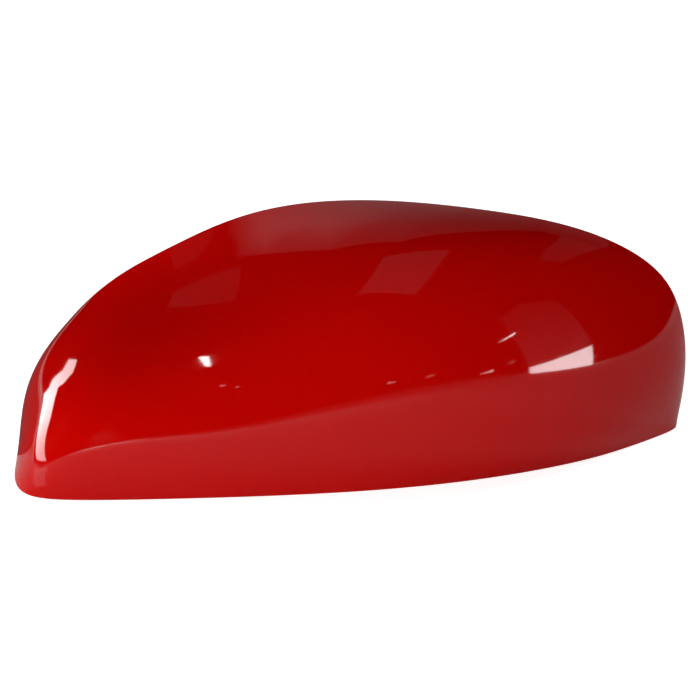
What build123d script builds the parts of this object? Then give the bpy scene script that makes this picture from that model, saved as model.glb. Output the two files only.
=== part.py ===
import math
import os

from build123d import *

# Overall sizes of the moulded cover
cover_length = 205.25
cover_depth = 57.0
cover_height = 74.0
wall = 2.5

# The skin is drawn past both rims by this margin, round a thin hub on the outer rear corner
trim_margin = 6.0
hub_radius = 3.0
nose_recess = 2.7
arch_steps = 24

# Share of the length from the tip end at which each arch is set out, in percent
STATIONS = (2.2, 11.0, 29.5, 51.4, 73.3, 87.9, 94.8, 98.7)

# Reach of each arch from the hub, in percent of the full reach at its fan angle
# Angle 0 lies along the lower rim, 90 stands along the rear rim
ARCHES = {
    0: (14.3, 35.4, 68.8, 90.7, 98.7, 101.7, 99.8, 51.1),
    30: (20.0, 56.4, 87.3, 99.5, 106.1, 101.0, 75.9, 37.2),
    60: (44.1, 74.9, 100.1, 102.2, 85.6, 68.8, 52.1, 11.7),
    90: (71.3, 84.6, 94.2, 99.7, 91.6, 60.8, 32.9, 8.4),
}

# Snap hooks: a flat tongue with a barb at its free end
hook_width = 12.0
hook_thickness = 2.0
barb_height = 1.8
barb_length = 4.0
hook_setback = 5.0
hook_free_length = 14.0
gusset_thickness = 1.6
# Upper hooks by place along the length and height, as shares of each
UPPER_HOOKS = ((-0.30, 0.56), (0.0, 0.80), (0.29, 0.72))
# Lower hooks by place along the length, and how far their ends stand in from the rear
LOWER_HOOKS = ((-0.35, 0.60), (-0.08, 0.52), (0.16, 0.42))
lower_hook_height = 9.0

# Locating pegs with a coned shoulder and crossed fins at the foot
peg_radius = 3.0
peg_foot_radius = 4.0
peg_setback = 20.0
peg_free_length = 12.0
peg_chamfer = 0.8
fin_thickness = 1.6
fin_span = 14.0
PEGS = ((-0.20, 0.40), (0.22, 0.40))

# Stiffening ribs across the inside
rib_thickness = 1.4
rib_height = 4.0
rib_setback = 6.0
RIBS = (-0.41, -0.12, 0.09, 0.37)

half_length = cover_length / 2
room = 2 * cover_length


def full_reach(angle):
    a = math.radians(angle)
    return 1 / math.hypot(
        math.cos(a) / (cover_depth + trim_margin), math.sin(a) / (cover_height + trim_margin)
    )


def fan_plane(angle):
    a = math.radians(angle)
    return Plane(
        origin=(0, trim_margin, -trim_margin),
        x_dir=(1, 0, 0),
        z_dir=(0, -math.sin(a), -math.cos(a)),
    )


def arch_edge(angle):
    reach = full_reach(angle) / 100
    points = [(half_length, hub_radius)]
    for station, share in zip(STATIONS, ARCHES[angle]):
        points.append((half_length - cover_length * station / 100, reach * share))
    points.append((nose_recess - half_length, hub_radius))
    ends = (Vector(0, 1), Vector(0, -1))
    arch = Spline(*points, tangents=ends, tangent_scalars=(1, 1), mode=Mode.PRIVATE)
    steps = [i / arch_steps for i in range(arch_steps + 1)]
    return Edge.make_spline(
        [arch @ t for t in steps],
        tangents=[end * arch.length for end in ends],
        parameters=steps,
        scale=False,
    )


def fan_sections():
    sections = []
    for angle in ARCHES:
        with BuildSketch(fan_plane(angle)) as section:
            with BuildLine():
                arch = arch_edge(angle)
                add(arch)
                Line(arch @ 1, arch @ 0)
            make_face()
        sections.append(section.sketch)
    return sections


# The overbuilt dome, drawn past the rims on every side
with BuildPart() as overbuilt:
    loft(fan_sections())


def dome_inside(inset):
    shrink = (1 - 2 * inset / cover_length, 1 - inset / cover_depth, 1 - inset / cover_height)
    with BuildPart() as dome:
        add(scale(overbuilt.part, by=shrink, mode=Mode.PRIVATE) if inset else overbuilt.part)
        with Locations((0, -room / 2, room / 2)):
            Box(room, room, room, mode=Mode.INTERSECT)
    return dome.part


outer_dome = dome_inside(0)
root_dome = dome_inside(wall / 2)
hollow = dome_inside(wall)
rib_core = dome_inside(wall + rib_height)

# Snap hooks, their gussets and the locating pegs, drawn long and trimmed inside the wall
with BuildPart() as fixings:
    for along, up in UPPER_HOOKS:
        x, z = along * cover_length, up * cover_height
        with BuildSketch(Plane.YZ.offset(x - hook_width / 2)):
            with BuildLine():
                Polyline(
                    (-room / 2, z),
                    (-room / 2, z - hook_thickness),
                    (-hook_setback - barb_length, z - hook_thickness),
                    (-hook_setback - barb_length, z - hook_thickness - barb_height),
                    (-hook_setback - barb_length / 2, z - hook_thickness - barb_height),
                    (-hook_setback, z - hook_thickness),
                    (-hook_setback, z),
                    close=True,
                )
            make_face()
        extrude(amount=hook_width)
        for side in (-1, 1):
            gusset_x = x + side * (hook_width - gusset_thickness) / 2
            with Locations((gusset_x, -hook_setback - hook_free_length - room / 2, z + room / 2)):
                Box(gusset_thickness, room, room)
    for along, inward in LOWER_HOOKS:
        x, y = along * cover_length, -inward * cover_depth
        with BuildSketch(Plane.YZ.offset(x - hook_width / 2)):
            with BuildLine():
                Polyline(
                    (-room / 2, lower_hook_height),
                    (-room / 2, lower_hook_height + hook_thickness),
                    (y - barb_length, lower_hook_height + hook_thickness),
                    (y - barb_length, lower_hook_height + hook_thickness + barb_height),
                    (y - barb_length / 2, lower_hook_height + hook_thickness + barb_height),
                    (y, lower_hook_height + hook_thickness),
                    (y, lower_hook_height),
                    close=True,
                )
            make_face()
        extrude(amount=hook_width)
    for along, up in PEGS:
        x, z = along * cover_length, up * cover_height
        with BuildSketch(Plane((x, -peg_setback, z))):
            with BuildLine():
                Polyline(
                    (0, 0),
                    (peg_radius - peg_chamfer, 0),
                    (peg_radius, -peg_chamfer),
                    (peg_radius, peg_foot_radius - peg_radius - peg_free_length),
                    (peg_foot_radius, -peg_free_length),
                    (peg_foot_radius, -room),
                    (0, -room),
                    close=True,
                )
            make_face()
        revolve(axis=Axis((x, -peg_setback, z), (0, 1, 0)))
        with Locations((x, -peg_setback - peg_free_length - room / 2, z)):
            Box(fin_span, room, fin_thickness)
            Box(fin_thickness, room, fin_span)
    add(root_dome, mode=Mode.INTERSECT)

# Stiffening ribs standing on the inner face
with BuildPart() as ribs:
    for along in RIBS:
        with Locations((along * cover_length, 0, 0)):
            Box(rib_thickness, room, room)
    add(root_dome, mode=Mode.INTERSECT)
    add(rib_core, mode=Mode.SUBTRACT)
    with Locations((0, -rib_setback - room / 2, rib_setback + room / 2)):
        Box(room, room, room, mode=Mode.INTERSECT)

# The moulded shell with everything on its inner face, set down on the middle of its base
with BuildPart() as shell:
    add(outer_dome)
    add(hollow, mode=Mode.SUBTRACT)
    add(ribs.part)
    add(fixings.part)

extent = shell.part.bounding_box()
with BuildPart() as mirror_cover:
    with Locations((-extent.center().X, -extent.center().Y, -extent.min.Z)):
        add(shell.part)
mirror_cover.part.label = "mirror_cover"

os.makedirs("parts", exist_ok=True)
export_step(mirror_cover.part, "parts/mirror_cover.step")
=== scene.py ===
import math

import bmesh
import bpy
import numpy as np
from mathutils import Matrix, Vector
from mathutils.bvhtree import BVHTree


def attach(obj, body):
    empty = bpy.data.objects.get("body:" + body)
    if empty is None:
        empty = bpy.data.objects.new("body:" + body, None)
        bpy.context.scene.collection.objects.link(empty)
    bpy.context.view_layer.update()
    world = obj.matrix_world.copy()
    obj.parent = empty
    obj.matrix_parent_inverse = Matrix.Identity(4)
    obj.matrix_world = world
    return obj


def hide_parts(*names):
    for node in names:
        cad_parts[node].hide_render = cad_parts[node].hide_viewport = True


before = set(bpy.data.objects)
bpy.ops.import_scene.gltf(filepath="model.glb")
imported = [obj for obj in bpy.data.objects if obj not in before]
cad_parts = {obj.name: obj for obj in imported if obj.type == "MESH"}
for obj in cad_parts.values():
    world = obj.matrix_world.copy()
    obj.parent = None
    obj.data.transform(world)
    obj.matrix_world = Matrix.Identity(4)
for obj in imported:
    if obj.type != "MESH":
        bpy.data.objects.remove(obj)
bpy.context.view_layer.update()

# The cover's skin: one injection moulding in ABS, domed over the front and top of the mirror and
# open at the rear and below. It runs through four arches fanned round the open lower rear edge,
# and is drawn in millimetres before it is set down on the middle of its base.
MM = 0.001
COVER_LENGTH = 205.25
COVER_DEPTH = 57.0
COVER_HEIGHT = 74.0
WALL = 2.5
TRIM_MARGIN = 6.0
HUB_RADIUS = 3.0
NOSE_RECESS = 2.7
STATIONS = (2.2, 11.0, 29.5, 51.4, 73.3, 87.9, 94.8, 98.7)
ARCHES = {
    0: (14.3, 35.4, 68.8, 90.7, 98.7, 101.7, 99.8, 51.1),
    30: (20.0, 56.4, 87.3, 99.5, 106.1, 101.0, 75.9, 37.2),
    60: (44.1, 74.9, 100.1, 102.2, 85.6, 68.8, 52.1, 11.7),
    90: (71.3, 84.6, 94.2, 99.7, 91.6, 60.8, 32.9, 8.4),
}
SKIN_COLUMNS = 201
SKIN_ROWS = 91
SECTION_STEPS = 24
CURVE_STEPS = 200
RIM_SEARCHES = 45
CORNER_SEARCHES = 40
TIP_RANGE = (0.3, 0.0)
NOSE_RANGE = (0.7, 1.0)
END_CROWDING = 0.6


def smooth_arch(points, shares):
    """A curve through the points that leaves and meets the hub square, read at shares of its length."""
    points = np.array(points, float)
    spans = np.hypot(*np.diff(points, axis=0).T)
    count = len(points)
    system = np.zeros((count, count))
    slopes = np.zeros((count, 2))
    system[0, 0] = system[-1, -1] = 1
    slopes[0] = (0, 1)
    slopes[-1] = (0, -1)
    for i in range(1, count - 1):
        before, after = spans[i - 1], spans[i]
        system[i, i - 1 : i + 2] = (1 / before, 2 / before + 2 / after, 1 / after)
        slopes[i] = 3 * (
            (points[i] - points[i - 1]) / before**2 + (points[i + 1] - points[i]) / after**2
        )
    slopes = np.linalg.solve(system, slopes)
    t = np.linspace(0, 1, CURVE_STEPS)[:, None]
    runs = [
        (1 + 2 * t) * (1 - t) ** 2 * points[i]
        + t * (1 - t) ** 2 * spans[i] * slopes[i]
        + t * t * (3 - 2 * t) * points[i + 1]
        + t * t * (t - 1) * spans[i] * slopes[i + 1]
        for i in range(count - 1)
    ]
    curve = np.concatenate([run[:-1] for run in runs] + [runs[-1][-1:]])
    travel = np.r_[0, np.cumsum(np.hypot(*np.diff(curve, axis=0).T))]
    travel /= travel[-1]
    return np.c_[np.interp(shares, travel, curve[:, 0]), np.interp(shares, travel, curve[:, 1])]


def fan_rows(shares):
    """The four arches in space, each read at the same shares of its length."""
    rows = []
    for angle, reaches in ARCHES.items():
        turn = math.radians(angle)
        full = 1 / math.hypot(
            math.cos(turn) / (COVER_DEPTH + TRIM_MARGIN),
            math.sin(turn) / (COVER_HEIGHT + TRIM_MARGIN),
        )
        points = [(COVER_LENGTH / 2, HUB_RADIUS)]
        for station, reach in zip(STATIONS, reaches):
            points.append((COVER_LENGTH * (0.5 - station / 100), full * reach / 100))
        points.append((NOSE_RECESS - COVER_LENGTH / 2, HUB_RADIUS))
        along, out = smooth_arch(points, shares).T
        across = TRIM_MARGIN - out * math.cos(turn)
        rows.append(np.c_[along, across, out * math.sin(turn) - TRIM_MARGIN])
    return np.array(rows)


step_rows = fan_rows(np.linspace(0, 1, SECTION_STEPS + 1))
row_gaps = np.linalg.norm(np.diff(step_rows, axis=0), axis=2).mean(axis=1)
row_places = np.r_[0, np.cumsum(row_gaps)] / row_gaps.sum()


def row_weights(v):
    """How much of each arch makes up the skin at v, from the lower rim side to the rear rim side."""
    weights = []
    for k, place in enumerate(row_places):
        others = np.delete(row_places, k)
        weights.append(np.prod([(v - o) / (place - o) for o in others], axis=0))
    return np.stack(weights, axis=-1)


def rim_places(rows, axis):
    """Where each column of the skin crosses the rim plane on which that axis is zero."""
    low = np.zeros(rows.shape[1])
    high = np.ones(rows.shape[1])
    for _ in range(RIM_SEARCHES):
        middle = (low + high) / 2
        height = np.einsum("uk,ku->u", row_weights(middle), rows[:, :, axis])
        low = np.where(height < 0, middle, low)
        high = np.where(height < 0, high, middle)
    return (low + high) / 2


def corner_share(inside, outside):
    """The share of the arches' length at which the lower and rear rims meet."""
    for _ in range(CORNER_SEARCHES):
        middle = (inside + outside) / 2
        rows = fan_rows(np.array([middle]))
        if rim_places(rows, 1)[0] > rim_places(rows, 2)[0]:
            inside = middle
        else:
            outside = middle
    return inside


tip_share = corner_share(*TIP_RANGE)
nose_share = corner_share(*NOSE_RANGE)
even = np.linspace(0, 1, SKIN_COLUMNS)
crowded = (1 - np.cos(math.pi * even)) / 2
columns = (1 - END_CROWDING) * even + END_CROWDING * crowded
skin_rows = fan_rows(tip_share + (nose_share - tip_share) * columns)
lower_edge = rim_places(skin_rows, 2)
rear_edge = rim_places(skin_rows, 1)
fill = np.linspace(0, 1, SKIN_ROWS)
skin_v = lower_edge[:, None] + (rear_edge - lower_edge)[:, None] * fill
outer_skin = np.einsum("uvk,kuc->uvc", row_weights(skin_v), skin_rows)
outer_skin[0] = outer_skin[0, 0]
outer_skin[-1] = outer_skin[-1, 0]
skin_low = outer_skin.reshape(-1, 3).min(axis=0)
skin_high = outer_skin.reshape(-1, 3).max(axis=0)
set_down = np.array([-(skin_low[0] + skin_high[0]) / 2, -(skin_low[1] + skin_high[1]) / 2, 0.0])


def inset_skin(inset):
    """The skin drawn in by a wall, towards the middle of the open lower rear edge."""
    shrink = 1 - np.array([2 * inset / COVER_LENGTH, inset / COVER_DEPTH, inset / COVER_HEIGHT])
    return outer_skin * shrink


inner_skin = inset_skin(WALL)

# The shell is closed round its two rims, which are flat and meet at the tip and the nose corner.
# Both edges of the rims are rounded a little, as a trimmed and painted moulding's are.
OUTER_EDGE_RADIUS = 0.5
INNER_EDGE_RADIUS = 0.3
EDGE_SHARE_LIMIT = 0.4
EDGE_STEPS = (0.0, 0.25, 0.5, 0.75, 1.0)
last_column = SKIN_COLUMNS - 1
rim_columns = list(range(SKIN_COLUMNS)) + list(range(last_column - 1, 0, -1))
rim_sides = [0] * SKIN_COLUMNS + [SKIN_ROWS - 1] * (SKIN_COLUMNS - 2)
shell_points = []
shell_faces = []


def add_points(points):
    """Adds points to the shell and gives the number of the first."""
    first = len(shell_points)
    shell_points.extend(points)
    return first


def rim_loop(skin, radius, towards):
    """Rows that round one edge of the rims, from the skin to the rim's flat."""
    rows = [[] for _ in EDGE_STEPS]
    for column, side in zip(rim_columns, rim_sides):
        corner = skin[column, side]
        if column in (0, last_column):
            neighbour = skin[1 if column == 0 else last_column - 1, SKIN_ROWS // 2]
        else:
            neighbour = skin[column, 1 if side == 0 else side - 1]
        inward = neighbour - corner
        length = np.linalg.norm(inward)
        start = corner + inward * min(radius / length, EDGE_SHARE_LIMIT)
        across = towards[column, side] - corner
        end = corner + across * radius / np.linalg.norm(across)
        for row, t in zip(rows, EDGE_STEPS):
            row.append((1 - t) ** 2 * start + 2 * t * (1 - t) * corner + t * t * end)
    return rows


def add_skin(skin, edge_row, flip):
    """One skin of the shell as quads, with its border taken from the rounded edge."""
    index = np.full((SKIN_COLUMNS, SKIN_ROWS), -1)
    loop_first = add_points(edge_row)
    for k, (column, side) in enumerate(zip(rim_columns, rim_sides)):
        index[column, side] = loop_first + k
    index[0] = loop_first
    index[-1] = loop_first + last_column
    inside = skin[1:-1, 1:-1].reshape(-1, 3)
    index[1:-1, 1:-1] = add_points(inside) + np.arange(len(inside)).reshape(
        SKIN_COLUMNS - 2, SKIN_ROWS - 2
    )
    for i in range(last_column):
        for j in range(SKIN_ROWS - 1):
            face = [index[i, j], index[i, j + 1], index[i + 1, j + 1], index[i + 1, j]]
            face = list(dict.fromkeys(int(f) for f in face))
            shell_faces.append(face[::-1] if flip else face)
    return loop_first


outer_loops = rim_loop(outer_skin, OUTER_EDGE_RADIUS, inner_skin)
inner_loops = rim_loop(inner_skin, INNER_EDGE_RADIUS, outer_skin)
loop_starts = [add_skin(outer_skin, outer_loops[0], True)]
loop_starts += [add_points(row) for row in outer_loops[1:]]
loop_starts += [add_points(row) for row in inner_loops[:0:-1]]
inner_first = len(shell_points)
loop_starts.append(add_skin(inner_skin, inner_loops[0], False))
loop_length = len(rim_columns)
for above, below in zip(loop_starts, loop_starts[1:]):
    for k in range(loop_length):
        after = (k + 1) % loop_length
        shell_faces.append([above + k, above + after, below + after, below + k])

shell_mesh = bpy.data.meshes.new("mirror_cover_shell")
shell_mesh.from_pydata(((np.array(shell_points) + set_down) * MM).tolist(), [], shell_faces)
outward = bmesh.new()
outward.from_mesh(shell_mesh)
bmesh.ops.recalc_face_normals(outward, faces=outward.faces)
outward.to_mesh(shell_mesh)
outward.free()
shell_mesh.polygons.foreach_set("use_smooth", [True] * len(shell_faces))
shell = bpy.data.objects.new("mirror_cover_shell", shell_mesh)
bpy.context.scene.collection.objects.link(shell)

# Clear-coated paint covers the outside and the rims and fades as overspray a few millimetres inside
# them, where the bare moulding shows. How bare each point of the plastic is, is kept with the mesh.
OVERSPRAY_START = 1.0
OVERSPRAY_END = 9.0
PAINT_RED = (0.42, 0.001, 0.0004, 1.0)
DEEPER_RED = (0.4, 0.0008, 0.0003, 1.0)
BARE_GREY = (0.042, 0.042, 0.044, 1.0)
PALER_GREY = (0.055, 0.055, 0.057, 1.0)
PAINT_IOR = 1.4
PAINT_ROUGHNESS = (0.045, 0.06)
BARE_ROUGHNESS = (0.38, 0.55)
SPATTER_SPREAD = 0.56
BARE_FROM = 0.16
BARE_TO = 0.56
ORANGE_PEEL_RISE = 0.03
RELIEF_STRENGTH = 0.5
RELIEF_HEIGHT = 0.00005
# Each pattern's fineness, per metre, and its detail
FLOW_MARKS = (60.0, 3.0)
MOULD_GRAIN = (2600.0, 2.0)
PAINT_SPATTER = (900.0, 4.0)
RED_DRIFT = (25.0, 2.0)
GLOSS_DRIFT = (40.0, 2.0)
ORANGE_PEEL = (420.0, 1.0)
depth_inside = np.minimum(np.array(shell_points)[:, 2], -np.array(shell_points)[:, 1])
bareness = np.clip((depth_inside - OVERSPRAY_START) / (OVERSPRAY_END - OVERSPRAY_START), 0, 1)
bareness[:inner_first] = 0
shell_mesh.attributes.new("bare", "FLOAT", "POINT")
shell_mesh.attributes["bare"].data.foreach_set("value", bareness.astype(np.float32))


def add_node(tree, kind, **settings):
    """A node with its own settings, and its plain input values by name or number."""
    node = tree.nodes.new(kind)
    for name, value in settings.pop("values", {}).items():
        node.inputs[name].default_value = value
    for name, value in settings.items():
        setattr(node, name, value)
    return node


def add_noise(tree, scale, detail):
    """Noise that stays with the piece, by its place in metres."""
    place = add_node(tree, "ShaderNodeTexCoord")
    noise = add_node(tree, "ShaderNodeTexNoise", values={"Scale": scale, "Detail": detail})
    tree.links.new(place.outputs["Object"], noise.inputs["Vector"])
    return noise.outputs["Fac"]


def add_mix(tree, share, first, second):
    """A colour that runs from the first to the second."""
    mix = add_node(tree, "ShaderNodeMix", data_type="RGBA", values={6: first, 7: second})
    tree.links.new(share, mix.inputs["Factor"])
    return mix


def add_range(tree, value, low, high, start=0.0, end=1.0):
    """A value that runs from low to high while the other runs from start to end."""
    spread = add_node(
        tree,
        "ShaderNodeMapRange",
        values={"From Min": start, "From Max": end, "To Min": low, "To Max": high},
    )
    tree.links.new(value, spread.inputs["Value"])
    return spread.outputs["Result"]


moulding = bpy.data.node_groups.new("bare_moulding", "ShaderNodeTree")
moulding.interface.new_socket("Color", in_out="OUTPUT", socket_type="NodeSocketColor")
moulding.interface.new_socket("Roughness", in_out="OUTPUT", socket_type="NodeSocketFloat")
moulding.interface.new_socket("Height", in_out="OUTPUT", socket_type="NodeSocketFloat")
moulding_end = add_node(moulding, "NodeGroupOutput")
flow_marks = add_noise(moulding, *FLOW_MARKS)
grey = add_mix(moulding, flow_marks, BARE_GREY, PALER_GREY)
moulding.links.new(grey.outputs["Result"], moulding_end.inputs["Color"])
moulding.links.new(add_range(moulding, flow_marks, *BARE_ROUGHNESS), moulding_end.inputs["Roughness"])
moulding.links.new(add_noise(moulding, *MOULD_GRAIN), moulding_end.inputs["Height"])

paint = bpy.data.materials.new("red_clear_coated_paint")
paint.use_nodes = True
tree = paint.node_tree
shader = tree.nodes["Principled BSDF"]
shader.inputs["IOR"].default_value = PAINT_IOR
bare_part = add_node(tree, "ShaderNodeAttribute", attribute_name="bare")
spread = {1: SPATTER_SPREAD, 2: -SPATTER_SPREAD / 2}
spatter = add_node(tree, "ShaderNodeMath", operation="MULTIPLY_ADD", values=spread)
tree.links.new(add_noise(tree, *PAINT_SPATTER), spatter.inputs[0])
sprayed = add_node(tree, "ShaderNodeMath", operation="ADD")
tree.links.new(bare_part.outputs["Fac"], sprayed.inputs[0])
tree.links.new(spatter.outputs["Value"], sprayed.inputs[1])
bare_mask = add_range(tree, sprayed.outputs["Value"], 0.0, 1.0, start=BARE_FROM, end=BARE_TO)
plastic = add_node(tree, "ShaderNodeGroup", node_tree=moulding)
red = add_mix(tree, add_noise(tree, *RED_DRIFT), PAINT_RED, DEEPER_RED)
coat_colour = add_mix(tree, bare_mask, PAINT_RED, BARE_GREY)
tree.links.new(red.outputs["Result"], coat_colour.inputs[6])
tree.links.new(plastic.outputs["Color"], coat_colour.inputs[7])
tree.links.new(coat_colour.outputs["Result"], shader.inputs["Base Color"])
gloss = add_node(tree, "ShaderNodeMix", data_type="FLOAT")
tree.links.new(bare_mask, gloss.inputs["Factor"])
tree.links.new(add_range(tree, add_noise(tree, *GLOSS_DRIFT), *PAINT_ROUGHNESS), gloss.inputs[2])
tree.links.new(plastic.outputs["Roughness"], gloss.inputs[3])
tree.links.new(gloss.outputs["Result"], shader.inputs["Roughness"])
relief = add_node(tree, "ShaderNodeMix", data_type="FLOAT")
tree.links.new(bare_mask, relief.inputs["Factor"])
peel = add_range(tree, add_noise(tree, *ORANGE_PEEL), 0.0, ORANGE_PEEL_RISE)
tree.links.new(peel, relief.inputs[2])
tree.links.new(plastic.outputs["Height"], relief.inputs[3])
relief_depth = {"Strength": RELIEF_STRENGTH, "Distance": RELIEF_HEIGHT}
skin_bump = add_node(tree, "ShaderNodeBump", values=relief_depth)
tree.links.new(relief.outputs["Result"], skin_bump.inputs["Height"])
tree.links.new(skin_bump.outputs["Normal"], shader.inputs["Normal"])
shell_mesh.materials.append(paint)

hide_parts("mirror_cover")
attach(shell, "root")

# Snap hooks with their gussets, the pegs' crossed fins and the ribs are moulded with the shell on
# its inner face, in bare ABS, and point to the rear, the way the cover is pushed on. Each is drawn
# as an outline seen from the tip, given its width, and its root is run forward or up into the wall.
HOOK_WIDTH = 12.0
HOOK_THICKNESS = 2.0
BARB_HEIGHT = 1.8
BARB_LENGTH = 4.0
HOOK_SETBACK = 5.0
HOOK_FREE_LENGTH = 14.0
GUSSET_THICKNESS = 1.6
GUSSET_INSET = 0.2
GUSSET_STEPS = 10
UPPER_HOOKS = ((-0.30, 0.56), (0.0, 0.80), (0.29, 0.72))
LOWER_HOOKS = ((-0.35, 0.60), (-0.08, 0.52), (0.16, 0.42))
LOWER_HOOK_HEIGHT = 9.0
PEG_SETBACK = 20.0
PEG_FREE_LENGTH = 12.0
FIN_THICKNESS = 1.6
FIN_SPAN = 14.0
PEGS = ((-0.20, 0.40), (0.22, 0.40))
RIB_THICKNESS = 1.4
RIB_HEIGHT = 4.0
RIB_SETBACK = 6.0
RIB_STEPS = 40
RIBS = (-0.41, -0.12, 0.09, 0.37)
ROOT_START = 1.0
EDGE_BEVEL = 0.25
BEVEL_SEGMENTS = 2
BEVEL_ANGLE = 50.0
SEAM_WELD = 0.001
STAYS = (0.0, 0.0)
FORWARD = (-1.0, 0.0)


def fan(steps):
    """Directions in the side view, as far across and up, from straight up round to forward."""
    turns = np.linspace(0, math.pi / 2, steps)
    return [(-math.sin(turn), math.cos(turn)) for turn in turns]


def hook_outline(base, rear, side):
    """A tongue with its barb at the rear end; side is 1 for a barb on top and -1 below."""
    tip = base + side * HOOK_THICKNESS
    barb = tip + side * BARB_HEIGHT
    neck = rear - BARB_LENGTH
    root = neck - ROOT_START
    corners = [(root, base, FORWARD), (root, tip, FORWARD)]
    corners += [(neck, tip, STAYS), (neck, barb, STAYS), (neck + BARB_LENGTH / 2, barb, STAYS)]
    corners += [(rear, tip, STAYS), (rear, base, STAYS)]
    return corners if side < 0 else corners[::-1]


def gusset_outline(base):
    """A web that fills the corner between an upper hook, the roof and the front of the shell."""
    rear = -HOOK_SETBACK - HOOK_FREE_LENGTH
    low = base - HOOK_THICKNESS / 2
    corners = [(rear, low, STAYS)]
    corners += [(rear + across, base + up, (across, up)) for across, up in fan(GUSSET_STEPS)]
    return corners + [(rear - ROOT_START, low, FORWARD)]


def fin_outline(middle, height, rear):
    """A plain fin or its edge, seen from the tip."""
    low, high = middle - height / 2, middle + height / 2
    root = rear - ROOT_START
    corners = [(rear, low, STAYS), (rear, high, STAYS)]
    return corners + [(root, high, FORWARD), (root, low, FORWARD)]


webs = []
for along, up in UPPER_HOOKS:
    hook_x, hook_z = along * COVER_LENGTH, up * COVER_HEIGHT
    webs.append((hook_x, HOOK_WIDTH, hook_outline(hook_z, -HOOK_SETBACK, -1)))
    gusset_reach = (HOOK_WIDTH - GUSSET_THICKNESS) / 2 - GUSSET_INSET
    for edge in (-gusset_reach, gusset_reach):
        webs.append((hook_x + edge, GUSSET_THICKNESS, gusset_outline(hook_z)))
for along, inward in LOWER_HOOKS:
    outline = hook_outline(LOWER_HOOK_HEIGHT, -inward * COVER_DEPTH, 1)
    webs.append((along * COVER_LENGTH, HOOK_WIDTH, outline))
fin_rear = -PEG_SETBACK - PEG_FREE_LENGTH
for along, up in PEGS:
    fin_x, fin_z = along * COVER_LENGTH, up * COVER_HEIGHT
    webs.append((fin_x, FIN_SPAN, fin_outline(fin_z, FIN_THICKNESS, fin_rear)))
    webs.append((fin_x, FIN_THICKNESS, fin_outline(fin_z, FIN_SPAN, fin_rear - GUSSET_INSET)))
rib_root = [(-RIB_SETBACK + a, RIB_SETBACK + u, (a, u)) for a, u in fan(RIB_STEPS)]
for along in RIBS:
    webs.append((along * COVER_LENGTH, RIB_THICKNESS, rib_root + rib_root[::-1]))

web_points, web_faces, web_reach, web_crest = [], [], [], []
for web_x, width, outline in webs:
    first = len(web_points)
    web_faces.append(range(first, first + len(outline)))
    for number, (across, up, reach) in enumerate(outline):
        web_points.append((web_x - width / 2, across, up))
        web_reach.append((0.0, *reach))
        web_crest.append(len(outline) == 2 * RIB_STEPS and number >= RIB_STEPS)
web_mesh = bpy.data.meshes.new("web_outlines")
web_mesh.from_pydata(web_points, [], web_faces)
web_mesh.attributes.new("width", "FLOAT", "FACE")
web_mesh.attributes["width"].data.foreach_set("value", [width for _, width, _ in webs])
web_mesh.attributes.new("reach", "FLOAT_VECTOR", "POINT")
web_mesh.attributes["reach"].data.foreach_set("vector", np.array(web_reach).ravel())
web_mesh.attributes.new("crest", "BOOLEAN", "POINT")
web_mesh.attributes["crest"].data.foreach_set("value", web_crest)
fixings = bpy.data.objects.new("hooks_fins_and_ribs", web_mesh)
bpy.context.scene.collection.objects.link(fixings)


def skin_object(name, skin):
    """One skin inside the wall as a mesh, in millimetres, for a root or a crest to end on."""
    corner = np.arange(SKIN_COLUMNS * SKIN_ROWS).reshape(SKIN_COLUMNS, SKIN_ROWS)
    sides = (corner[:-1, :-1], corner[:-1, 1:], corner[1:, 1:], corner[1:, :-1])
    faces = np.stack([side.ravel() for side in sides], axis=1)
    mesh = bpy.data.meshes.new(name)
    mesh.from_pydata(skin.reshape(-1, 3).tolist(), [], faces.tolist())
    helper = bpy.data.objects.new(name, mesh)
    bpy.context.scene.collection.objects.link(helper)
    return helper


middle_of_wall = skin_object("middle_of_wall", inset_skin(WALL / 2))
rib_crests = skin_object("rib_crests", inset_skin(WALL + RIB_HEIGHT))

bare_abs = bpy.data.materials.new("bare_abs")
bare_abs.use_nodes = True
tree = bare_abs.node_tree
shader = tree.nodes["Principled BSDF"]
plastic = add_node(tree, "ShaderNodeGroup", node_tree=moulding)
tree.links.new(plastic.outputs["Color"], shader.inputs["Base Color"])
tree.links.new(plastic.outputs["Roughness"], shader.inputs["Roughness"])
grain = add_node(tree, "ShaderNodeBump", values=relief_depth)
tree.links.new(plastic.outputs["Height"], grain.inputs["Height"])
tree.links.new(grain.outputs["Normal"], shader.inputs["Normal"])

web_tree = bpy.data.node_groups.new("web_to_wall", "GeometryNodeTree")
web_tree.interface.new_socket("Geometry", in_out="INPUT", socket_type="NodeSocketGeometry")
web_tree.interface.new_socket("Wall", in_out="INPUT", socket_type="NodeSocketObject")
web_tree.interface.new_socket("Crests", in_out="INPUT", socket_type="NodeSocketObject")
web_tree.interface.new_socket("Material", in_out="INPUT", socket_type="NodeSocketMaterial")
web_tree.interface.new_socket("Longest Root", in_out="INPUT", socket_type="NodeSocketFloat")
web_tree.interface.new_socket("Seam Weld", in_out="INPUT", socket_type="NodeSocketFloat")
web_tree.interface.new_socket("Geometry", in_out="OUTPUT", socket_type="NodeSocketGeometry")
web_start = add_node(web_tree, "NodeGroupInput")
web_end = add_node(web_tree, "NodeGroupOutput")
link = web_tree.links.new


def read_attribute(name, kind):
    """A value that the outlines carry."""
    named = add_node(web_tree, "GeometryNodeInputNamedAttribute", data_type=kind, values={"Name": name})
    return named.outputs["Attribute"]


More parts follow.
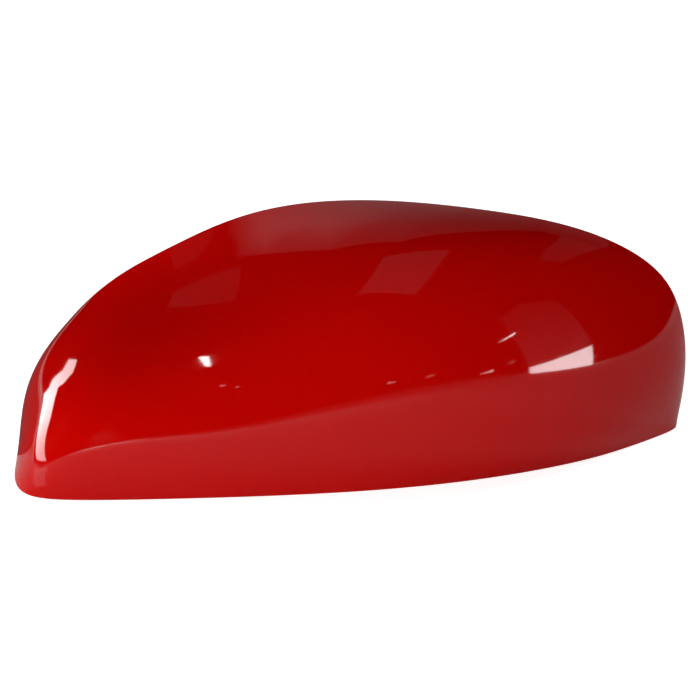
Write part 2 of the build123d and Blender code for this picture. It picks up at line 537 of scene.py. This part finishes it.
sideways = add_node(web_tree, "FunctionNodeInputVector", vector=(1, 0, 0))
widen = add_node(web_tree, "GeometryNodeExtrudeMesh", mode="FACES", values={"Individual": False})
link(sideways.outputs["Vector"], widen.inputs["Offset"])
link(web_start.outputs["Geometry"], widen.inputs["Mesh"])
link(read_attribute("width", "FLOAT"), widen.inputs["Offset Scale"])
near_side = add_node(web_tree, "GeometryNodeFlipFaces")
link(web_start.outputs["Geometry"], near_side.inputs["Mesh"])
both_sides = add_node(web_tree, "GeometryNodeJoinGeometry")
link(widen.outputs["Mesh"], both_sides.inputs["Geometry"])
link(near_side.outputs["Mesh"], both_sides.inputs["Geometry"])
on_crest = read_attribute("crest", "BOOLEAN")
on_wall = add_node(web_tree, "FunctionNodeBooleanMath", operation="NOT")
link(on_crest, on_wall.inputs[0])
reach = read_attribute("reach", "FLOAT_VECTOR")
run = both_sides.outputs["Geometry"]
for target, which in (("Wall", on_wall.outputs["Boolean"]), ("Crests", on_crest)):
    surface = add_node(web_tree, "GeometryNodeObjectInfo")
    link(web_start.outputs[target], surface.inputs["Object"])
    hit = add_node(web_tree, "GeometryNodeRaycast")
    link(web_start.outputs["Longest Root"], hit.inputs["Ray Length"])
    link(surface.outputs["Geometry"], hit.inputs["Target Geometry"])
    link(reach, hit.inputs["Ray Direction"])
    wanted = add_node(web_tree, "FunctionNodeBooleanMath", operation="AND")
    link(hit.outputs["Is Hit"], wanted.inputs[0])
    link(which, wanted.inputs[1])
    settle = add_node(web_tree, "GeometryNodeSetPosition")
    link(run, settle.inputs["Geometry"])
    link(wanted.outputs["Boolean"], settle.inputs["Selection"])
    link(hit.outputs["Hit Position"], settle.inputs["Position"])
    run = settle.outputs["Geometry"]
closed = add_node(web_tree, "GeometryNodeMergeByDistance")
realized = add_node(web_tree, "GeometryNodeRealizeInstances")
finished = add_node(web_tree, "GeometryNodeSetMaterial")
link(run, closed.inputs["Geometry"])
link(web_start.outputs["Seam Weld"], closed.inputs["Distance"])
link(closed.outputs["Geometry"], realized.inputs["Geometry"])
link(realized.outputs["Geometry"], finished.inputs["Geometry"])
link(web_start.outputs["Material"], finished.inputs["Material"])
link(finished.outputs["Geometry"], web_end.inputs["Geometry"])

web_inputs = {
    "Wall": middle_of_wall,
    "Crests": rib_crests,
    "Material": bare_abs,
    "Longest Root": COVER_LENGTH,
    "Seam Weld": SEAM_WELD,
}
to_wall = fixings.modifiers.new("web_to_wall", "NODES")
to_wall.node_group = web_tree
for socket in web_tree.interface.items_tree:
    if socket.in_out == "INPUT" and socket.name in web_inputs:
        to_wall[socket.identifier] = web_inputs[socket.name]
soft_edges = fixings.modifiers.new("soft_edges", "BEVEL")
soft_edges.width = EDGE_BEVEL
soft_edges.segments = BEVEL_SEGMENTS
soft_edges.limit_method = "ANGLE"
soft_edges.angle_limit = math.radians(BEVEL_ANGLE)
made = fixings.evaluated_get(bpy.context.evaluated_depsgraph_get())
fixings.data = bpy.data.meshes.new_from_object(made)
fixings.modifiers.clear()
to_frame = Matrix.Scale(MM, 4) @ Matrix.Translation(set_down)
fixings.data.transform(to_frame)

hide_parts("mirror_cover")
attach(fixings, "root")

# Two locating pegs are moulded round, in the same bare ABS, with a chamfered end and a coned
# shoulder on a thicker foot. They stand among the crossed fins and enter holes in the mirror's
# carrier.
PEG_RADIUS = 3.0
PEG_FOOT_RADIUS = 4.0
PEG_CHAMFER = 0.8
PEG_SIDES = 40
PEG_SHARP_ANGLE = 30.0
TO_FRONT = Vector((0, -1, 0))
PEG_STEPS = (
    (PEG_RADIUS - PEG_CHAMFER, 0.0),
    (PEG_RADIUS, -PEG_CHAMFER),
    (PEG_RADIUS, PEG_FOOT_RADIUS - PEG_RADIUS - PEG_FREE_LENGTH),
    (PEG_FOOT_RADIUS, -PEG_FREE_LENGTH),
)
wall_tree = BVHTree.FromObject(middle_of_wall, bpy.context.evaluated_depsgraph_get())
peg_points, peg_faces = [], []
for along, up in PEGS:
    peg_x, peg_z = along * COVER_LENGTH, up * COVER_HEIGHT
    first = len(peg_points)
    for radius, across in PEG_STEPS:
        for side in range(PEG_SIDES):
            turn = 2 * math.pi * side / PEG_SIDES
            round_x, round_z = peg_x + radius * math.cos(turn), peg_z + radius * math.sin(turn)
            peg_points.append(Vector((round_x, across - PEG_SETBACK, round_z)))
    last = len(peg_points)
    for point in peg_points[last - PEG_SIDES : last]:
        peg_points.append(wall_tree.ray_cast(point, TO_FRONT)[0])
    peg_faces.append(list(range(first + PEG_SIDES - 1, first - 1, -1)))
    peg_faces.append(list(range(last, last + PEG_SIDES)))
    for ring in range(first, last, PEG_SIDES):
        for side in range(PEG_SIDES):
            after = (side + 1) % PEG_SIDES
            peg_faces.append(
                [ring + side, ring + after, ring + PEG_SIDES + after, ring + PEG_SIDES + side]
            )
peg_mesh = bpy.data.meshes.new("locating_pegs")
peg_mesh.from_pydata(peg_points, [], peg_faces)
peg_mesh.transform(to_frame)
peg_mesh.polygons.foreach_set("use_smooth", [True] * len(peg_faces))
peg_mesh.set_sharp_from_angle(angle=math.radians(PEG_SHARP_ANGLE))
peg_mesh.materials.append(bare_abs)
pegs = bpy.data.objects.new("locating_pegs", peg_mesh)
bpy.context.scene.collection.objects.link(pegs)
for helper in (middle_of_wall, rib_crests):
    bpy.data.objects.remove(helper)

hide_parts("mirror_cover")
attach(pegs, "root")

# The table is a wide flat sheet of matt white board that the cover stands on. It keeps the cover's
# shadow, and it is lifted to white where the camera sees it.
TABLE_SIZE = 8.0
TABLE_DROP = 0.0002
TABLE_COLOUR = (0.8, 0.8, 0.8, 1.0)
TABLE_ROUGHNESS = 0.9
CAMERA_LIFT = 0.8


def flat_sheet(name, corners):
    """One flat four-cornered sheet of the studio."""
    mesh = bpy.data.meshes.new(name)
    mesh.from_pydata(corners, [], [(0, 1, 2, 3)])
    sheet = bpy.data.objects.new(name, mesh)
    bpy.context.scene.collection.objects.link(sheet)
    return sheet


def seen_by_camera(tree):
    """One where the camera sees a thing, straight or through glass, and nought elsewhere."""
    path = add_node(tree, "ShaderNodeLightPath")
    in_view = add_node(tree, "ShaderNodeMath", operation="ADD")
    tree.links.new(path.outputs["Is Camera Ray"], in_view.inputs[0])
    tree.links.new(path.outputs["Is Transmission Ray"], in_view.inputs[1])
    return in_view.outputs["Value"]


half_table = TABLE_SIZE / 2
table = flat_sheet(
    "table",
    [
        (-half_table, -half_table, -TABLE_DROP),
        (half_table, -half_table, -TABLE_DROP),
        (half_table, half_table, -TABLE_DROP),
        (-half_table, half_table, -TABLE_DROP),
    ],
)
white = bpy.data.materials.new("white_table")
white.use_nodes = True
nodes, links = white.node_tree.nodes, white.node_tree.links
matt = nodes["Principled BSDF"]
matt.inputs["Base Color"].default_value = TABLE_COLOUR
matt.inputs["Roughness"].default_value = TABLE_ROUGHNESS
lift = nodes.new("ShaderNodeEmission")
seen_lift = add_node(white.node_tree, "ShaderNodeMath", operation="MULTIPLY", values={1: CAMERA_LIFT})
links.new(seen_by_camera(white.node_tree), seen_lift.inputs[0])
links.new(seen_lift.outputs["Value"], lift.inputs["Strength"])
both = nodes.new("ShaderNodeAddShader")
links.new(matt.outputs["BSDF"], both.inputs[0])
links.new(lift.outputs["Emission"], both.inputs[1])
links.new(both.outputs["Shader"], nodes["Material Output"].inputs["Surface"])
table.data.materials.append(white)

# The camera stands in front of the cover and a little above it, as in a catalogue picture. Its lens
# is long, so that the cover is drawn with little perspective.
VIEW_AZIMUTH = 2.0
VIEW_ELEVATION = 22.0
VIEW_DISTANCE = 0.7467
VIEW_AIM = (-0.0016, 0.0357, 0.0221)
LENS = 123.4
SENSOR_WIDTH = 36.0
NEAREST_VIEW = 0.01
FARTHEST_VIEW = 50.0
turn, tilt = math.radians(VIEW_AZIMUTH), math.radians(VIEW_ELEVATION)
away = Vector((math.sin(turn) * math.cos(tilt), -math.cos(turn) * math.cos(tilt), math.sin(tilt)))
camera_data = bpy.data.cameras.new("camera")
camera_data.lens = LENS
camera_data.sensor_width = SENSOR_WIDTH
camera_data.clip_start = NEAREST_VIEW
camera_data.clip_end = FARTHEST_VIEW
camera = bpy.data.objects.new("camera", camera_data)
camera.location = Vector(VIEW_AIM) + away * VIEW_DISTANCE
camera.rotation_mode = "QUATERNION"
camera.rotation_quaternion = (-away).to_track_quat("-Z", "Y")
bpy.context.scene.collection.objects.link(camera)
bpy.context.scene.camera = camera
bpy.context.scene.view_settings.view_transform = "Standard"

# The studio's far panels: a softbox on the right with a bright foot and two dim ceiling panels show
# in the paint, and a low strip on the left only lights things. Each corner is the turn from
# straight ahead of the cover and the height above the table, both in degrees, and its glow.
PANEL_DISTANCE = 1.2
STRIP_FOOT = (
    (-78, 0, 14), (-113, 0, 13), (-128, 0, 7), (-134, 0, 5), (-135, 3, 5), (-135, 9, 5), (-136, 15, 5)
)
STRIP_TOP = (
    (-78, 7, 14), (-91, 11, 13), (-104, 13, 9), (-123, 12, 6), (-132, 12, 5), (-134, 15, 5), (-136, 19, 5)
)
SOFTBOX_FOOT = ((42, 0, 18), (54, 0, 19), (65, 0, 18))
SOFTBOX_SEAM = ((42, 3, 16), (53, 6, 19), (67, 9, 17))
SOFTBOX_BODY = ((42, 3, 0.3), (53, 6, 0.3), (67, 9, 0.3))
SOFTBOX_TOP = ((38, 30, 0.08), (50, 37, 0.08), (66, 34, 0.08))
MIDDLE_NEAR = ((-18, 65, 0.25), (12, 55, 0.25))
MIDDLE_FAR = ((-114, 83, 0.25), (125, 78, 0.2))
RIGHT_NEAR = ((100, 55, 0.1), (122, 53, 0.1), (154, 33, 0.1))
RIGHT_FAR = ((103, 49, 0.1), (137, 35, 0.1), (149, 30, 0.1))


def looking(turn, rise):
    """The point at the panels' distance in that direction from the cover."""
    turn, rise = math.radians(turn), math.radians(rise)
    flat = PANEL_DISTANCE * math.cos(rise)
    return (flat * math.sin(turn), -flat * math.cos(turn), PANEL_DISTANCE * math.sin(rise))


panel_glow = bpy.data.materials.new("panel_glow")
panel_glow.use_nodes = True
nodes, links = panel_glow.node_tree.nodes, panel_glow.node_tree.links
nodes.remove(nodes["Principled BSDF"])
corner_glow = nodes.new("ShaderNodeAttribute")
corner_glow.attribute_name = "glow"
panel_light = nodes.new("ShaderNodeEmission")
links.new(corner_glow.outputs["Fac"], panel_light.inputs["Strength"])
links.new(panel_light.outputs["Emission"], nodes["Material Output"].inputs["Surface"])


def light_band(name, points, glows, shows=True):
    """A band between two rows of points, which shows in the paint or else lights things."""
    count = len(points) // 2
    mesh = bpy.data.meshes.new(name)
    mesh.from_pydata(points, [], [(k, k + 1, count + k + 1, count + k) for k in range(count - 1)])
    mesh.attributes.new("glow", "FLOAT", "POINT")
    mesh.attributes["glow"].data.foreach_set("value", glows)
    mesh.materials.append(panel_glow)
    band = bpy.data.objects.new(name, mesh)
    bpy.context.scene.collection.objects.link(band)
    band.visible_camera = False
    band.visible_shadow = False
    band.visible_diffuse = not shows
    band.visible_glossy = shows


def light_panel(name, first_edge, second_edge, shows=True):
    """A far panel, by the directions of its two edges."""
    corners = first_edge + second_edge
    points = [looking(turn, rise) for turn, rise, _ in corners]
    light_band(name, points, [glow for _, _, glow in corners], shows)


light_panel("strip_left", STRIP_FOOT, STRIP_TOP, shows=False)
light_panel("softbox_foot", SOFTBOX_FOOT, SOFTBOX_SEAM)
light_panel("softbox_body", SOFTBOX_BODY, SOFTBOX_TOP)
light_panel("ceiling_middle", MIDDLE_NEAR, MIDDLE_FAR)
light_panel("ceiling_right", RIGHT_NEAR, RIGHT_FAR)

# A bent strip, a small lamp, a dim card, a pale screen and gaps in a curtain stand close to the
# cover and show sharp in the paint. Each corner is a place in the picture, in pixels across and
# down, and its glow. It stands on the line of sight there, mirrored or gone past the cover's edge.
PICTURE_SIZE = 700
STRIP_OUTER = (
    (69.0, 357.0, 5.0),
    (62.0, 368.5, 5.0),
    (53.5, 382.0, 6.0),
    (48.0, 386.5, 6.0),
    (44.5, 396.0, 7.0),
    (40.5, 415.0, 8.0),
    (35.5, 458.5, 8.5),
)
STRIP_INNER = (
    (78.0, 361.0, 5.0),
    (72.0, 372.0, 5.5),
    (63.0, 382.5, 6.5),
    (58.5, 388.0, 7.0),
    (55.0, 399.0, 8.0),
    (51.0, 417.5, 9.0),
    (46.5, 460.5, 9.5),
)
STRIP_AWAY = 0.05
LAMP_NEAR = ((199.5, 356.5, 40), (208.0, 356.5, 40))
LAMP_FAR = ((204.5, 367.0, 40), (210.5, 367.0, 40))
LAMP_AWAY = 0.05
CARD_LOW = ((167, 308, 0.09), (235, 302, 0.09))
CARD_HIGH = ((174, 274, 0.07), (241, 266, 0.07))
CARD_AWAY = 0.04
SCREEN_LOW = (
    (232, 258, 0.0),
    (265, 254, 0.2),
    (330, 250, 0.2),
    (400, 242, 0.18),
    (470, 232, 0.12),
    (540, 231, 0.06),
    (600, 248, 0.05),
)
SCREEN_MIDDLE = (
    (232, 238, 0.0),
    (264, 230, 0.7),
    (330, 223, 0.6),
    (401, 219, 0.28),
    (471, 218, 0.13),
    (541, 223, 0.08),
    (601, 241, 0.1),
)
SCREEN_HIGH = (
    (230, 214, 0.0),
    (263, 206, 1.2),
    (330, 197, 0.7),
    (402, 197, 0.3),
    (472, 204, 0.12),
    (542, 215, 0.08),
    (603, 233, 0.15),
)
SCREEN_AWAY = 0.04
GLINTS = (
    (498.0, 341.5, 515.0, 333.0, 22.0),
    (507.5, 364.0, 517.0, 359.5, 9.0),
    (480.5, 373.5, 494.0, 370.0, 10.0),
    (427.5, 376.5, 435.0, 374.0, 8.0),
    (388.0, 382.5, 395.5, 382.0, 4.0),
    (236.0, 387.0, 240.0, 386.5, 6.0),
    (221.0, 385.5, 225.5, 385.5, 6.0),
)
GLINT_THICKNESS = 0.8
GLINT_AWAY = 0.05
shell_tree = BVHTree.FromObject(shell, bpy.context.evaluated_depsgraph_get())


def mirrored_place(across, down, away_from_paint):
    """The point at that distance from the paint on the mirrored line of sight."""
    pixel = SENSOR_WIDTH / LENS / PICTURE_SIZE
    sight = Vector(((across - PICTURE_SIZE / 2) * pixel, (PICTURE_SIZE / 2 - down) * pixel, -1))
    sight.rotate(camera.rotation_quaternion)
    sight.normalize()
    place, normal, _, _ = shell_tree.ray_cast(camera.location, sight)
    if place is None:
        return camera.location + sight * (VIEW_DISTANCE + away_from_paint)
    return place + sight.reflect(normal) * away_from_paint


def near_card(name, first_edge, second_edge, away_from_paint):
    """A card close to the paint, by the places in the picture of its two edges."""
    corners = first_edge + second_edge
    points = [mirrored_place(across, down, away_from_paint) for across, down, _ in corners]
    light_band(name, points, [glow for _, _, glow in corners])


near_card("bent_strip", STRIP_OUTER, STRIP_INNER, STRIP_AWAY)
near_card("small_lamp", LAMP_NEAR, LAMP_FAR, LAMP_AWAY)
near_card("dim_card", CARD_LOW, CARD_HIGH, CARD_AWAY)
near_card("pale_screen_foot", SCREEN_LOW, SCREEN_MIDDLE, SCREEN_AWAY)
near_card("pale_screen_head", SCREEN_MIDDLE, SCREEN_HIGH, SCREEN_AWAY)
for count, (start_x, start_y, end_x, end_y, glow) in enumerate(GLINTS):
    upper = ((start_x, start_y, glow), (end_x, end_y, glow))
    lower = tuple((across, down + GLINT_THICKNESS, glow) for across, down, glow in upper)
    near_card(f"gap_in_curtain_{count}", upper, lower, GLINT_AWAY)

# A dim sheet lies on the table behind the nose as painted shade. The paint mirrors it there in place of
# the white
# # table, as dark as the table's shade. A glowing sheet before it is a painted sheen, the strip light's
# # sheen on the table. Both show in the paint alone.
SHEET_LIFT = 0.0003
# Painted shade: the dim sheet's corners on the table, in metres, and their glow.
SHADE_SHEET_NEAR = ((-0.1, 0.0), (-0.3, 0.12))
SHADE_SHEET_FAR = ((0.0, 0.6), (-0.3, 0.6))
SHADE_SHEET_GLOWS = (0.06, 0.06, 0.06, 0.06)
# Painted sheen: the glowing sheet's corners on the table, in metres, and their glow.
SHEEN_REAR = ((-0.104, -0.033), (-0.42, -0.04))
SHEEN_FRONT = ((-0.095, -0.037), (-0.22, -0.11))
SHEEN_GLOWS = (1.2, 2.2, 1.1, 2.0)
# Both sheets are painted light, a dark shade and a pale sheen, seen only in the paint's reflection.
light_band("black_flag", [(*place, SHEET_LIFT) for place in SHADE_SHEET_NEAR + SHADE_SHEET_FAR], SHADE_SHEET_GLOWS)
light_band("strip_sheen", [(*place, SHEET_LIFT) for place in SHEEN_REAR + SHEEN_FRONT], SHEEN_GLOWS)

# Soft round lamps stand about the table, and a weak even fill comes from all sides. They light the
# cover and the table without showing in the paint. Each lamp has its place, the point that it is
# aimed at, its width and its power.
COVER_MIDDLE = (0, 0, 0.03)
NOSE_HALF = (-0.05, 0, 0.03)
SOFT_LAMPS = {
    "key_front": ((-0.16, -0.45, 0.08), COVER_MIDDLE, 0.14, 1.78),
    "side_right": ((1.4, -0.6, 0.2), COVER_MIDDLE, 0.4, 3.4),
    "side_left": ((-0.42, -0.06, 0.13), NOSE_HALF, 0.2, 0.36),
    "top_right": ((1.3, 0.8, 1.05), COVER_MIDDLE, 0.6, 12.5),
    "rear_low": ((0.3, 1.5, 0.25), COVER_MIDDLE, 0.4, 11.0),
}
DIFFUSE_FILL = 0.06
BACKDROP_WHITE = (1, 1, 1, 1)


def soft_lamp(name, place, aim, width, power):
    """A soft lamp that lights the cover without showing in its gloss."""
    data = bpy.data.lights.new(name, "AREA")
    data.shape = "DISK"
    data.size = width
    data.energy = power
    lamp = bpy.data.objects.new(name, data)
    lamp.location = place
    lamp.rotation_mode = "QUATERNION"
    lamp.rotation_quaternion = (Vector(aim) - Vector(place)).to_track_quat("-Z", "Y")
    lamp.visible_glossy = False
    lamp.visible_camera = False
    bpy.context.scene.collection.objects.link(lamp)


for lamp_name, (lamp_place, lamp_aim, lamp_width, lamp_power) in SOFT_LAMPS.items():
    soft_lamp(lamp_name, lamp_place, lamp_aim, lamp_width, lamp_power)

world = bpy.data.worlds.new("studio")
bpy.context.scene.world = world
world.use_nodes = True
nodes, links = world.node_tree.nodes, world.node_tree.links
backdrop = nodes["Background"]
backdrop.inputs["Color"].default_value = BACKDROP_WHITE
lit_by = nodes.new("ShaderNodeLightPath")
fill_light = nodes.new("ShaderNodeMath")
fill_light.operation = "MULTIPLY_ADD"
fill_light.inputs[1].default_value = DIFFUSE_FILL
links.new(lit_by.outputs["Is Diffuse Ray"], fill_light.inputs[0])
links.new(seen_by_camera(world.node_tree), fill_light.inputs[2])
links.new(fill_light.outputs["Value"], backdrop.inputs["Strength"])
